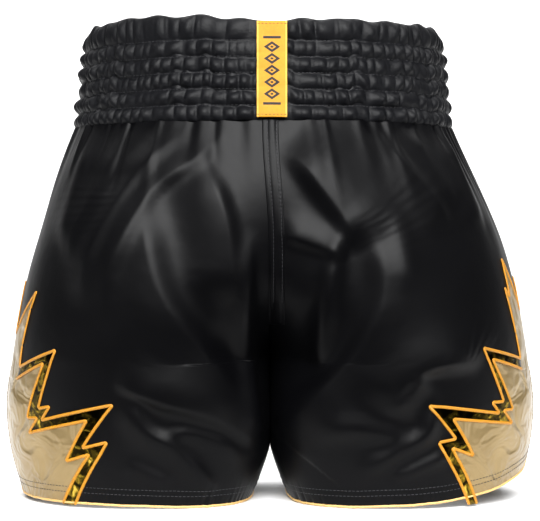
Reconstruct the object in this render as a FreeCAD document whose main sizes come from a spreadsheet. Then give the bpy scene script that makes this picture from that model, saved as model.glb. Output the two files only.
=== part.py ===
import FreeCAD, Part
import os
import Sketcher

# Thai-cut boxing shorts, standing on their hems, waist opening up.
# Millimetres. +Z up, +Y towards the wearer's front, -X on the wearer's left.
# The pieces of the back-left quarter are built, then mirrored to the other three quarters.

document = FreeCAD.newDocument("BoxingShorts")
Vector = FreeCAD.Vector

# ---------------------------------------------------------------- driving sizes
SIZES = {
    # waistband: a sleeve of satin over rows of elastic
    "band_height": 84.0,
    "band_top_half_width": 153.5,
    "band_top_half_depth": 100.0,
    "band_seam_half_width": 163.5,
    "band_seam_half_depth": 105.0,
    "elastic_thickness": 2.6,
    "elastic_gap": 2.0,
    # body: half width at the side, half depth, and where the leg's inner face stands;
    # the hip and seat stand at a share of the rise
    "rise": 196.0,
    "inseam": 120.0,
    "hip_share": 0.41,
    "seat_share": 0.71,
    "seat_half_width": 187.5,
    "seat_half_depth": 112.0,
    "seat_overlap": 137.5,
    "hip_half_width": 207.0,
    "hip_half_depth": 114.0,
    "hip_overlap": 87.0,
    "crotch_half_width": 222.5,
    "crotch_half_depth": 110.0,
    "thigh_half_width": 227.5,
    "thigh_half_depth": 107.0,
    "thigh_gap": 1.5,
    "cuff_half_width": 223.5,
    "cuff_half_depth": 103.0,
    "cuff_gap": 3.0,
    "hem_half_width": 212.0,
    "hem_half_depth": 97.0,
    "hem_gap": 16.0,
    # cloth and trim thicknesses
    "satin": 1.0,
    "tape": 0.8,
    "foil": 0.5,
    "embroidery": 0.7,
    "thread": 0.3,
    # seams and hems
    "tape_half_width": 6.0,
    "seat_stitch_offset": 5.5,
    "thread_width": 0.7,
    "binding_height": 3.0,
    "hem_stitch_height": 12.0,
    "hem_stitch_pitch": 4.0,
    # side vent
    "vent_height": 112.0,
    "vent_half_gap": 1.5,
    "vent_flare": 6.0,
    "vent_corner": 22.0,
    "vent_corner_cut": 6.5,
    "vent_straight": 40.0,
    "vent_facing_width": 12.0,
    # woven label on the back of the waistband
    "label_half_width": 12.3,
    "label_margin": 2.0,
    "label_thickness": 0.8,
    "label_stitch_inset": 3.0,
    # bolt: width of its embroidered border
    "border": 2.2,
}

# The bolt's zigzag: name, (inwards from the thigh's side, upwards from the hem).
BOLT_OUTER = {
    "shoulder": (17.5, 113.5), "long_tip": (53.5, 130.5), "notch": (36.0, 83.0),
    "small_tip": (46.0, 86.0), "elbow": (38.5, 74.0), "low_tip": (99.5, 86.5),
    "knee": (74.5, 53.0), "last_tip": (93.0, 55.5), "foot": (66.0, 1.0)}
BOLT_INNER = {
    "toe": (57.0, 1.0), "last_tip_inside": (79.0, 47.0), "knee_inside": (60.0, 40.5),
    "low_tip_inside": (78.5, 73.5), "elbow_inside": (26.5, 63.5),
    "small_tip_inside": (35.0, 75.5), "notch_inside": (25.5, 75.5),
    "long_tip_inside": (43.5, 120.0), "shoulder_inside": (13.0, 105.0)}
# The crown over the vent: name, (backwards from the side seam, upwards from the hem). It also
# has a point at the vent's top.
CROWN = {
    "crown_corner": (49.0, 103.0), "crown_shoulder": (52.5, 113.5), "crown_tip": (46.0, 190.0),
    "crown_notch": (30.0, 158.0), "crown_peak": (12.0, 176.0), "crown_valley": (0.0, 150.0)}

for name, (across, up) in {**BOLT_OUTER, **BOLT_INNER, **CROWN}.items():
    SIZES[name + "_across"] = across
    SIZES[name + "_up"] = up

sheet = document.addObject("Spreadsheet::Sheet", "Sizes")
for row, (name, value) in enumerate(SIZES.items(), start=1):
    sheet.set(f"A{row}", name)
    sheet.set(f"B{row}", str(value))
    sheet.setAlias(f"B{row}", name)
document.recompute()

CLEAR = 60.0        # how far cutting blocks run past the cloth
ELASTIC_ROWS = 6


def bind(item, **expressions):
    """Tie properties to the sheet; a double underscore stands for a dot."""
    for name, expression in expressions.items():
        item.setExpression(name.replace("__", "."), expression)
    return item


def with_sizes(expression):
    """Prefix each alias in an expression with the sheet's name."""
    words = expression.replace("(", " ( ").replace(")", " ) ").split()
    return " ".join("Sizes." + word if word in SIZES else word for word in words)


def ellipse(name, width, depth, centre, height, inset):
    """An oval section starting at its side; one deeper than wide is drawn turned a quarter."""
    item = document.addObject("Part::Ellipse", name)
    is_wide = f"( {width} ) >= ( {depth} )"
    return bind(
        item,
        MajorRadius=with_sizes(f"( {is_wide} ? ( {width} ) : ( {depth} ) ) - ( {inset} )"),
        MinorRadius=with_sizes(f"( {is_wide} ? ( {depth} ) : ( {width} ) ) - ( {inset} )"),
        Angle1=with_sizes(f"{is_wide} ? 0 : 270"),
        Angle2=with_sizes(f"{is_wide} ? 360 : 270"),
        Placement__Rotation__Angle=with_sizes(f"{is_wide} ? 0 : 90"),
        Placement__Base__x=with_sizes(centre),
        Placement__Base__z=with_sizes(height))


def loft(name, sections):
    item = document.addObject("Part::Loft", name)
    item.Sections = sections
    item.Solid = True
    return item


# Sections of the left leg and half trunk, hem first: height, outer x, inner x, half depth.
BODY_SECTIONS = [
    ("hem", "0", "hem_half_width", "hem_gap", "hem_half_depth"),
    ("cuff", "inseam / 3", "cuff_half_width", "cuff_gap", "cuff_half_depth"),
    ("thigh", "inseam * 2 / 3", "thigh_half_width", "thigh_gap", "thigh_half_depth"),
    ("crotch", "inseam", "crotch_half_width", "0", "crotch_half_depth"),
    ("hip", "inseam + rise * hip_share", "hip_half_width", "0 - hip_overlap", "hip_half_depth"),
    ("seat", "inseam + rise * seat_share", "seat_half_width", "0 - seat_overlap", "seat_half_depth"),
    ("band_seam", "inseam + rise", "band_seam_half_width", "0 - band_seam_half_width",
     "band_seam_half_depth")]


def body_solid(name, inset):
    """Everything inside a surface that lies inset within the cloth's outer face."""
    sections = []
    for label, height, outer, inner, depth in BODY_SECTIONS:
        sections.append(ellipse(
            f"{name}_{label}",
            f"( {outer} - ( {inner} ) ) / 2",
            depth,
            f"0 - ( {outer} + ( {inner} ) ) / 2",
            height,
            inset))
    return loft(name, sections)


def band_solid(name, inset, low="0", high="band_height"):
    """Everything inside the waistband's surface at an inset, between two heights above its seam."""
    sections = []
    for label, height in (("low", low), ("high", high)):
        share = f"( {height} ) / band_height"
        sections.append(ellipse(
            f"{name}_{label}",
            f"band_seam_half_width + ( band_top_half_width - band_seam_half_width ) * {share}",
            f"band_seam_half_depth + ( band_top_half_depth - band_seam_half_depth ) * {share}",
            "0",
            f"inseam + rise + {height}",
            inset))
    return loft(name, sections)


def block(name, x_low, x_high, y_low, y_high, z_low, z_high):
    item = document.addObject("Part::Box", name)
    return bind(
        item,
        Length=with_sizes(f"( {x_high} ) - ( {x_low} )"),
        Width=with_sizes(f"( {y_high} ) - ( {y_low} )"),
        Height=with_sizes(f"( {z_high} ) - ( {z_low} )"),
        Placement__Base__x=with_sizes(x_low),
        Placement__Base__y=with_sizes(y_low),
        Placement__Base__z=with_sizes(z_low))


def cut(name, base, *tools):
    """Take each tool away from the base in turn."""
    for count, tool in enumerate(tools, start=1):
        item = document.addObject("Part::Cut", name if count == len(tools) else f"{name}_{count}")
        item.Base = base
        item.Tool = tool
        base = item
    return base


def common(name, *shapes):
    item = document.addObject("Part::MultiCommon", name)
    item.Shapes = list(shapes)
    return item


def group(name, *shapes):
    item = document.addObject("Part::Compound", name)
    item.Links = list(shapes)
    return item


def mirrored(name, source, normal):
    item = document.addObject("Part::Mirroring", name)
    item.Source = source
    item.Normal = normal
    return item


LEFT_TO_RIGHT = Vector(1, 0, 0)
BACK_TO_FRONT = Vector(0, 1, 0)
BACKWARDS = Vector(0, -1, 0)
LEFTWARDS = Vector(-1, 0, 0)
BACK_PLANE = FreeCAD.Rotation(Vector(1, 0, 0), 90)                      # across = +X, up = +Z
SIDE_PLANE = FreeCAD.Rotation(Vector(0, -1, 0), Vector(0, 0, 1), Vector(-1, 0, 0), "ZXY")


def outline(name, rotation, points, base_x="0"):
    """A closed sketch of straight lines through points given as (across, up) expressions."""
    sketch = document.addObject("Sketcher::SketchObject", name)
    sketch.Placement = FreeCAD.Placement(Vector(), rotation)
    bind(sketch, Placement__Base__x=with_sizes(base_x))
    places = [Vector(*[value_of(part) for part in point]) for point in points]
    for start, end in zip(places, places[1:] + places[:1]):
        sketch.addGeometry(Part.LineSegment(start, end))
    count = len(points)
    for index, point in enumerate(points):
        sketch.addConstraint(Sketcher.Constraint("Coincident", index, 2, (index + 1) % count, 1))
    for index, (across, up) in enumerate(points):
        for kind, expression in (("DistanceX", across), ("DistanceY", up)):
            constraint = sketch.addConstraint(
                Sketcher.Constraint(kind, -1, 1, index, 1, value_of(expression)))
            sketch.renameConstraint(constraint, f"{kind}_{index}")
            sketch.setExpression(f"Constraints.{kind}_{index}", with_sizes(expression))
    return sketch


def value_of(expression):
    """The number that an expression has at the sizes written above."""
    total = 0.0
    for term in expression.replace(" - ", " + -").split(" + "):
        sign = -1.0 if term.startswith("-") else 1.0
        word = term.lstrip("-")
        total += sign * (SIZES[word] if word in SIZES else float(word))
    return total


def prism(name, sketch, direction, length):
    item = document.addObject("Part::Extrusion", name)
    item.Base = sketch
    item.DirMode = "Custom"
    item.Dir = direction
    item.Solid = True
    return bind(item, LengthFwd=with_sizes(length))


def widened(name, sketch, distance):
    """The same outline, moved outwards or inwards, with sharp corners."""
    item = document.addObject("Part::Offset2D", name)
    item.Source = sketch
    item.Join = "Intersection"
    item.Fill = False
    return bind(item, Value=with_sizes(distance))


# ---------------------------------------------------------------- surfaces of the cloth
face = body_solid("body_face", "0")
inside = body_solid("body_inside", "satin")
tape_inside = body_solid("body_tape_inside", "satin + tape")
foil_face = body_solid("body_foil_face", "0 - foil")
border_face = body_solid("body_border_face", "0 - foil - embroidery")
thread_face = body_solid("body_thread_face", "0 - thread")

OUT = f"{CLEAR}"
BELOW = "0 - " + OUT
SIDE = "0 - thigh_half_width - " + OUT
BACK = "0 - hip_half_depth - " + OUT
quarter = block("quarter", SIDE, "0", BACK, "0", "binding_height", "inseam + rise")

# ---------------------------------------------------------------- side vent
# A slit from the hem up, open a little more at the bottom, where its corner is rounded off.
vent_outline = outline(
    "vent_outline", SIDE_PLANE,
    [("0", BELOW),
     ("vent_corner + vent_flare", BELOW),
     ("vent_corner + vent_flare", "0"),
     ("vent_flare + vent_corner_cut", "vent_corner_cut"),
     ("vent_flare", "vent_corner"),
     ("vent_half_gap", "vent_height - vent_straight"),
     ("vent_half_gap", "vent_height"),
     ("0", "vent_height")])
vent = prism("vent", vent_outline, LEFTWARDS, "thigh_half_width + " + OUT)
# The slit is in the leg's outer wall only, so its tool starts at the leg's middle.
outer_wall = block("outer_wall", SIDE, "0 - crotch_half_width / 2", BACK, "hip_half_depth",
                   BELOW, "inseam + rise")
vent_tool = common("vent_tool", vent, outer_wall)

# ---------------------------------------------------------------- bolt outlines
def corner(name):
    return (name + "_across", name + "_up")


side_region = outline(
    "side_region", BACK_PLANE,
    [(BELOW, BELOW), (BELOW, "shoulder_up")]
    + [corner(name) for name in BOLT_OUTER]
    + [("foot_across", BELOW)],
    "0 - thigh_half_width")
side_tool = prism("side_tool", side_region, BACKWARDS, "hip_half_depth + " + OUT)
bolt_outline = outline(
    "bolt_outline", BACK_PLANE,
    [corner(name) for name in (*BOLT_OUTER, *BOLT_INNER)],
    "0 - thigh_half_width")
border_outer = prism("border_outer", widened("bolt_outline_out", bolt_outline, "border / 2"),
                     BACKWARDS, "hip_half_depth + " + OUT)
border_inner = prism("border_inner", widened("bolt_outline_in", bolt_outline, "0 - border / 2"),
                     BACKWARDS, "hip_half_depth + " + OUT)
crown_outline = outline("crown_outline", SIDE_PLANE,
                        [("0", "vent_height")] + [corner(name) for name in CROWN])
crown_outer = prism("crown_outer", widened("crown_outline_out", crown_outline, "border / 2"),
                    LEFTWARDS, "thigh_half_width + " + OUT)
crown_inner = prism("crown_inner", widened("crown_outline_in", crown_outline, "0 - border / 2"),
                    LEFTWARDS, "thigh_half_width + " + OUT)

# ---------------------------------------------------------------- the finished pieces
pieces = {}


def keep(name, item):
    item.Label = name
    pieces[name] = item
    return item


def four(name, item):
    """Keep a back-left piece and mirror it to the other three quarters."""
    keep(f"{name}_back_left", item)
    keep(f"{name}_back_right", mirrored(f"{name}_back_right", item, LEFT_TO_RIGHT))
    front = keep(f"{name}_front_left", mirrored(f"{name}_front_left", item, BACK_TO_FRONT))
    keep(f"{name}_front_right", mirrored(f"{name}_front_right", front, LEFT_TO_RIGHT))


def pair(name, item):
    """Join a back-left piece with its front mirror in one left node, and mirror that to the right."""
    front = mirrored(f"{name}_front", item, BACK_TO_FRONT)
    left = keep(f"{name}_left", group(f"{name}_left", item, front))
    keep(f"{name}_right", mirrored(f"{name}_right", left, LEFT_TO_RIGHT))


# Satin panels: black main panels, pale side panels below the crown.
cloth = common("cloth", cut("cloth_shell", face, inside), quarter)
cloth_vented = cut("cloth_vented", cloth, vent_tool)
four("main_panel", cut("main_panel_quarter", cloth_vented, side_tool))
four("side_panel", common("side_panel_quarter", cloth_vented, side_tool))

# Foil bolt and its embroidered border, sewn over the panels' join.
foil_layer = common("foil_layer", cut("foil_shell", foil_face, face), quarter)
border_layer = common("border_layer", cut("border_shell", border_face, face), quarter)
four("bolt_foil", common("bolt_foil_quarter", foil_layer, border_inner))
four("bolt_border", cut("bolt_border_quarter",
                        common("bolt_border_band", border_layer, border_outer), border_inner))
crown_foil = cut("crown_foil_quarter", common("crown_foil_band", foil_layer, crown_inner,
                                              outer_wall), border_outer, vent_tool)
pair("crown_foil", crown_foil)
crown_border = cut("crown_border_quarter",
                   common("crown_border_band", border_layer, crown_outer, outer_wall),
                   crown_inner, border_outer, vent_tool)
pair("crown_border", crown_border)

# Binding folded round the raw edge of each hem: a solid strip that the panels end on.
hem_slab = block("hem_slab", SIDE, "0", BACK, "0", "0", "binding_height")
hem_fold = cut("hem_fold", common("hem_ring", cut("hem_shell", foil_face, tape_inside), hem_slab),
               vent_tool)
pair("hem_binding", hem_fold)

# Two rows of topstitching above each hem.
thread_layer = common("thread_layer", cut("thread_shell", thread_face, face), quarter)
hem_rows = []
for row in range(2):
    low = f"hem_stitch_height + hem_stitch_pitch * {row}"
    hem_rows.append(block(f"hem_row_{row}", SIDE, "0", BACK, "0", low, f"{low} + thread_width"))
hem_thread = cut("hem_thread",
                 common("hem_thread_rows", thread_layer, group("hem_rows", *hem_rows)),
                 border_outer, vent_tool)
pair("hem_stitching", hem_thread)

# Facing strips inside the vent's two edges.
tape_layer = common("tape_layer", cut("tape_shell", inside, tape_inside), quarter)
facing_zone = block("facing_zone", SIDE, "0 - crotch_half_width / 2",
                    "0 - vent_facing_width - vent_flare", "0", "binding_height", "vent_height")
pair("vent_facing", cut("vent_facing_quarter", common("vent_facing_strip", tape_layer, facing_zone),
                        vent_tool))

# Tapes over the seam allowances: side seams above the vents, inseams, seat and front seams.
side_zone = block("side_zone", SIDE, "0 - crotch_half_width / 2", "0 - tape_half_width", "0",
                  "vent_height", "inseam + rise")
pair("side_seam_tape", common("side_tape_quarter", tape_layer, side_zone))
inseam_zone = block("inseam_zone", "0 - crotch_half_width / 2", "0", "0 - tape_half_width", "0",
                    "binding_height", "inseam - 2 * tape_half_width")
pair("inseam_tape", common("inseam_tape_quarter", tape_layer, inseam_zone))
seat_zone = block("seat_zone", "0 - tape_half_width", "0", BACK, "0 - tape_half_width",
                  "inseam", "inseam + rise")
seat_half = common("seat_tape_half", tape_layer, seat_zone)
seat_tape = group("seat_seam_tape", seat_half,
                  mirrored("seat_tape_other", seat_half, LEFT_TO_RIGHT))
keep("seat_seam_tape", seat_tape)
keep("front_seam_tape", mirrored("front_seam_tape", seat_tape, BACK_TO_FRONT))

# Topstitching each side of the seat seam.
seat_row = block("seat_row", "0 - seat_stitch_offset - thread_width", "0 - seat_stitch_offset",
                 BACK, "0 - tape_half_width", "inseam", "inseam + rise")
seat_thread = common("seat_thread", thread_layer, seat_row)
seat_stitching = group("seat_seam_stitching", seat_thread,
                       mirrored("seat_thread_other", seat_thread, LEFT_TO_RIGHT))
keep("seat_seam_stitching", seat_stitching)
keep("front_seam_stitching", mirrored("front_seam_stitching", seat_stitching, BACK_TO_FRONT))

# ---------------------------------------------------------------- waistband
# Outer sleeve, folded over at the top; elastic rows in their channels; lining inside.
band_face = band_solid("band_face", "0")
band_inside = band_solid("band_inside", "satin", "0", "band_height - satin")
elastic_inside = band_solid("elastic_inside", "satin + elastic_thickness", "0",
                            "band_height - satin")
mouth = band_solid("mouth", "2 * satin + elastic_thickness")
keep("waistband_outer", cut("waistband_outer", band_face, band_inside, mouth))
keep("waistband_lining", cut("waistband_lining", elastic_inside, mouth))
elastic_ring = cut("elastic_ring", band_inside, elastic_inside)
ROW_PITCH = f"( band_height - satin ) / {ELASTIC_ROWS}"
for row in range(ELASTIC_ROWS):
    low = f"inseam + rise + {ROW_PITCH} * {row} + elastic_gap / 2"
    slab = block(f"elastic_slab_{row}", SIDE, "thigh_half_width + " + OUT, BACK,
                 "hip_half_depth + " + OUT, low, f"{low} + {ROW_PITCH} - elastic_gap")
    keep(f"elastic_{row + 1}", common(f"elastic_{row + 1}", elastic_ring, slab))

# Woven label standing on its edge across the band, over the seat seam.
label_face = band_solid("label_face", "0 - label_thickness")
label_slab = block("label_slab", "0 - label_half_width", "label_half_width", BACK, "0",
                   "inseam + rise + label_margin", "inseam + rise + band_height - label_margin")
keep("waistband_label", common("waistband_label", cut("label_shell", label_face, band_face),
                               label_slab))
label_thread_face = band_solid("label_thread_face", "0 - label_thickness - thread")
label_rows = []
for row, low in enumerate((
        "inseam + rise + label_stitch_inset",
        "inseam + rise + band_height - label_stitch_inset - thread_width")):
    label_rows.append(block(f"label_row_{row}", "0 - label_half_width", "label_half_width",
                            BACK, "0", low, f"{low} + thread_width"))
keep("label_stitching", common("label_stitching",
                               cut("label_thread_shell", label_thread_face, label_face),
                               group("label_rows", *label_rows)))

# Stitching rows that part the elastic channels, stopping at the label.
band_thread_face = band_solid("band_thread_face", "0 - thread")
band_rows = []
for row in range(1, ELASTIC_ROWS):
    low = f"inseam + rise + {ROW_PITCH} * {row} - thread_width / 2"
    band_rows.append(block(f"band_row_{row}", SIDE, "thigh_half_width + " + OUT, BACK,
                           "hip_half_depth + " + OUT, low, f"{low} + thread_width"))
keep("waistband_stitching", cut(
    "waistband_stitching",
    common("band_thread_rows", cut("band_thread_shell", band_thread_face, band_face),
           group("band_rows", *band_rows)),
    label_slab))

# ---------------------------------------------------------------- check and write
document.recompute()
for item in document.Objects:
    if "Invalid" in item.State or "Error" in item.State:
        raise RuntimeError(f"{item.Name} failed: {item.State}")
for name, item in pieces.items():
    shape = item.Shape
    if shape.isNull() or not shape.isValid() or not shape.Solids:
        raise RuntimeError(f"{name} has no valid solid")

os.makedirs("parts", exist_ok=True)
for name, item in pieces.items():
    item.Shape.exportStep(f"parts/{name}.step")
    box = item.Shape.BoundBox
    print(f"{name:28s} {len(item.Shape.Solids)} solids {item.Shape.Volume:10.1f} mm3 "
          f"x {box.XMin:7.1f} {box.XMax:7.1f} y {box.YMin:7.1f} {box.YMax:7.1f} "
          f"z {box.ZMin:6.1f} {box.ZMax:6.1f}")
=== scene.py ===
import math

import bpy
import numpy as np
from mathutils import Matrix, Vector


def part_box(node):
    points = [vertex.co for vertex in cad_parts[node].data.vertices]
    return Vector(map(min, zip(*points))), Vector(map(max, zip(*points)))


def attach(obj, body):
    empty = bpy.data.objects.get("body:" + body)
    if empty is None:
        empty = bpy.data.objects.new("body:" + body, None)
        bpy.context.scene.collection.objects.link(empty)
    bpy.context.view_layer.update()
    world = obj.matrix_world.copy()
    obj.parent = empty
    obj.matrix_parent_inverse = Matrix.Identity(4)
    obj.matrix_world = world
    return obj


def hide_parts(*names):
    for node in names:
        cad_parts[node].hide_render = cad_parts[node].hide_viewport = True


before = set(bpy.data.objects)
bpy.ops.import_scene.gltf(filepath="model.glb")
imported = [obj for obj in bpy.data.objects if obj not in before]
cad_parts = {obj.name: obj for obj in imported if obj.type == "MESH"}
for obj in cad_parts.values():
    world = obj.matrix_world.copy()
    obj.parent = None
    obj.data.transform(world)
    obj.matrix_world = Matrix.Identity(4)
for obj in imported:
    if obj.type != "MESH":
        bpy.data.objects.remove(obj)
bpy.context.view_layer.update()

# ------------------------------------------------------------------ floor, light and camera
# The shorts stand on their hems on a pale sweep that curves up behind them. A large soft box
# hangs above and behind the camera, with weak fill from both sides, and one lights the sweep.


def mesh_piece(name, points, faces, uv=None, material=None, smooth=True):
    """Make a mesh object from points in millimetres and quad or triangle rows of indices."""
    mesh = bpy.data.meshes.new(name)
    mesh.from_pydata((points * 0.001).tolist(), [], faces.tolist())
    if uv is not None:
        layer = mesh.uv_layers.new(name="cloth")
        corners = np.empty(len(mesh.loops), np.int32)
        mesh.loops.foreach_get("vertex_index", corners)
        layer.data.foreach_set("uv", uv[corners].astype(np.float32).ravel())
    mesh.polygons.foreach_set("use_smooth", [smooth] * len(mesh.polygons))
    mesh.update()
    piece = bpy.data.objects.new(name, mesh)
    bpy.context.scene.collection.objects.link(piece)
    if material:
        mesh.materials.append(material)
    return piece


def grid_faces(rows, columns, close_columns=False):
    """Quads joining a rows by columns grid of points, row after row, facing row cross column."""
    columns_used = columns if close_columns else columns - 1
    row, column = np.meshgrid(np.arange(rows - 1), np.arange(columns_used), indexing="ij")
    here = row * columns + column
    beside = row * columns + (column + 1) % columns
    return np.stack([here, here + columns, beside + columns, beside], -1).reshape(-1, 4)


class Socket:
    """A shader socket, or a number, on which sums are written as plain expressions."""

    def __init__(self, tree, value):
        self.tree = tree
        self.value = value

    def node(self, kind, *inputs, out=0, **settings):
        """Any node: its type, its settings, and its inputs in order or as (name, value)."""
        made = self.tree.nodes.new(kind)
        for name, value in settings.items():
            if name == "stops":
                ramp = made.color_ramp
                for index, (place, colour) in enumerate(value):
                    stop = ramp.elements[index] if index < 2 else ramp.elements.new(place)
                    stop.position = place
                    stop.color = colour
            else:
                setattr(made, name, value)
        for index, value in enumerate(inputs):
            key, value = value if isinstance(value, tuple) and len(value) == 2 else (index, value)
            if value is None:
                continue
            if isinstance(value, Socket):
                value = value.value
            if isinstance(value, bpy.types.NodeSocket):
                self.tree.links.new(value, made.inputs[key])
            else:
                made.inputs[key].default_value = value
        return Socket(self.tree, made.outputs[out])

    def maths(self, operation, *inputs):
        return self.node("ShaderNodeMath", *inputs, operation=operation)

    def __add__(self, other):
        return self.maths("ADD", self, other)

    def __sub__(self, other):
        return self.maths("SUBTRACT", self, other)

    def __rsub__(self, other):
        return self.maths("SUBTRACT", other, self)

    def __mul__(self, other):
        return self.maths("MULTIPLY", self, other)

    def __truediv__(self, other):
        return self.maths("DIVIDE", self, other)

    __radd__ = __add__
    __rmul__ = __mul__

    def sine(self):
        return self.maths("SINE", self)

    def size(self):
        return self.maths("ABSOLUTE", self)

    def step(self, low, high):
        """0 below low, 1 above high, smooth between."""
        return self.node("ShaderNodeMapRange", self, low, high, 0.0, 1.0,
                         interpolation_type="SMOOTHSTEP")

    def mixed(self, first, second):
        """A colour from first to second as this goes from 0 to 1."""
        return self.node("ShaderNodeMix", ("Factor", self), (6, first), (7, second),
                         out=2, data_type="RGBA")


def finish(name, colour, roughness, build=None, **constants):
    """A surface: fixed values on the shader, and whatever build(start, shader) links to it."""
    material = bpy.data.materials.new(name)
    material.use_nodes = True
    shader = material.node_tree.nodes["Principled BSDF"]
    shader.inputs["Base Color"].default_value = (*colour, 1.0)
    shader.inputs["Roughness"].default_value = roughness
    for label, value in constants.items():
        shader.inputs[label.replace("_", " ")].default_value = value
    if build:
        build(Socket(material.node_tree, 0.0), shader)
    return material


def link(source, shader, name):
    """Feed a shader's input from a socket."""
    source.tree.links.new(source.value, shader.inputs[name])


def sweep_paint(start, shader):
    """Matt white with a faint speckle."""
    place = start.node("ShaderNodeTexCoord", out=3)
    speckle = start.node("ShaderNodeTexNoise", ("Vector", place), ("Scale", 60.0))
    link(speckle.mixed((0.90, 0.90, 0.90, 1.0), (0.93, 0.93, 0.93, 1.0)), shader, "Base Color")


SWEEP_HALF_WIDTH = 6000.0
SWEEP_FRONT = -190.0
SWEEP_BACK = 3000.0
SWEEP_BEND = 1500.0
SWEEP_TOP = 5000.0
bend = np.linspace(0, math.pi / 2, 24)
profile = np.concatenate([
    [[SWEEP_FRONT, 0.0]],
    np.stack([SWEEP_BACK + SWEEP_BEND * np.sin(bend), SWEEP_BEND * (1 - np.cos(bend))], -1),
    [[SWEEP_BACK + SWEEP_BEND, SWEEP_TOP]]])
across = np.array([-SWEEP_HALF_WIDTH, SWEEP_HALF_WIDTH])
sweep_points = np.stack([
    np.repeat(across, len(profile)),
    np.tile(profile[:, 0], 2),
    np.tile(profile[:, 1], 2)], -1)
sweep = mesh_piece("sweep", sweep_points, grid_faces(2, len(profile)),
                   material=finish("pale_floor", (0.92, 0.92, 0.92), 0.9, sweep_paint))


def soft_box(name, place, target, size, power):
    """An area light of that size in metres at place, turned to face target."""
    lamp = bpy.data.lights.new(name, "AREA")
    lamp.shape = "RECTANGLE"
    lamp.size, lamp.size_y = size
    lamp.energy = power
    item = bpy.data.objects.new(name, lamp)
    item.location = place
    direction = np.array(target) - np.array(place)
    flat = math.hypot(direction[0], direction[1])
    item.rotation_euler = (
        math.atan2(flat, -direction[2]),
        0.0,
        math.atan2(direction[1], direction[0]) - math.pi / 2)
    bpy.context.scene.collection.objects.link(item)


MIDDLE = (0.0, 0.0, 0.2)
soft_box("key_light", (0.1, -1.65, 1.25), MIDDLE, (1.6, 1.1), 98.0)
soft_box("left_fill", (-1.7, -1.5, 0.7), MIDDLE, (0.6, 1.0), 3.0)
soft_box("right_fill", (1.7, -1.5, 0.7), MIDDLE, (0.6, 1.0), 3.0)
soft_box("sweep_light", (0.0, 0.9, 2.6), (0.0, 3.4, 0.3), (4.0, 1.2), 260.0)

world = bpy.data.worlds.new("studio")
world.use_nodes = True
world.node_tree.nodes["Background"].inputs["Color"].default_value = (1.0, 1.0, 1.0, 1.0)
world.node_tree.nodes["Background"].inputs["Strength"].default_value = 0.07
bpy.context.scene.world = world
bpy.context.scene.view_settings.view_transform = "Standard"

CAMERA_DISTANCE = 1.5
CAMERA_HEIGHT = 0.203
camera_data = bpy.data.cameras.new("camera")
camera_data.sensor_width = 36.0
camera_data.lens = 114.9
camera = bpy.data.objects.new("camera", camera_data)
camera.location = (0.0, -CAMERA_DISTANCE, CAMERA_HEIGHT)
camera.rotation_euler = (math.pi / 2, 0.0, 0.0)
bpy.context.scene.collection.objects.link(camera)
bpy.context.scene.camera = camera

# ------------------------------------------------------------------ main panels
# Two back and two front panels of heavy black polyester satin, seamed at the centre, the sides
# and the inside leg. They fall in soft folds from the gathers under the waistband.

# The leg's oval at each height: outer x, inner x and half depth, millimetres.
LEVELS = np.array([0.0, 40.0, 80.0, 120.0, 200.4, 259.2, 316.0])
OUTER = np.array([212.0, 223.5, 227.5, 222.5, 207.0, 187.5, 163.5])
INNER = np.array([16.0, 3.0, 1.5, 0.0, -87.0, -137.5, -163.5])
DEPTH = np.array([94.0, 99.5, 105.0, 111.0, 118.0, 115.5, 103.5])
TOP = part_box("waistband_outer")[0][2] * 1000
LEFT, RIGHT = -1.0, 1.0


def through(values, height):
    """A smooth curve through values at LEVELS: cubic between each two, slopes by differences."""
    slopes = np.gradient(values, LEVELS)
    index = np.clip(np.searchsorted(LEVELS, height) - 1, 0, len(LEVELS) - 2)
    span = LEVELS[index + 1] - LEVELS[index]
    t = (height - LEVELS[index]) / span
    return (values[index] * (1 + 2 * t) * (1 - t) ** 2
            + slopes[index] * span * t * (1 - t) ** 2
            + values[index + 1] * t * t * (3 - 2 * t)
            + slopes[index + 1] * span * t * t * (t - 1))


def ease(value):
    """0 below 0, 1 above 1, smooth between."""
    value = np.clip(value, 0.0, 1.0)
    return value * value * (3 - 2 * value)


CROTCH = 120.0
GAP_TOP = 44.0          # the legs touch between here and the crotch


def oval(height):
    """Centre x, half width and half depth of the leg's oval."""
    parted = INNER[0] * np.clip(1 - height / GAP_TOP, 0, 1) ** 1.2
    outer = through(OUTER, height)
    inner = np.where(height < CROTCH, parted, np.minimum(through(INNER, height), 0.0))
    return (outer + inner) / 2, (outer - inner) / 2, through(DEPTH, height)


def lean(height):
    """The waist sits a little to the wearer's left of the legs."""
    return -5.2 * ease((height - 215.0) / 100.0)


def seam_turn(height):
    """The turn, from the side, at which the oval reaches the centre plane."""
    centre, half_width, _ = oval(height)
    return np.arccos(np.clip(-centre / half_width, -1.0, 1.0))


def smooth_path(points, per_span=5):
    """Points along a smooth curve through the given ones, each span a cubic."""
    points = np.array(points, float)
    places = np.arange(len(points))
    fine = np.linspace(0, len(points) - 1, (len(points) - 1) * per_span + 1)
    slopes = np.gradient(points, axis=0)
    index = np.minimum(fine.astype(int), len(points) - 2)
    t = (fine - places[index])[:, None]
    return (points[index] * (1 + 2 * t) * (1 - t) ** 2 + slopes[index] * t * (1 - t) ** 2
            + points[index + 1] * t * t * (3 - 2 * t) + slopes[index + 1] * t * t * (t - 1))


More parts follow.
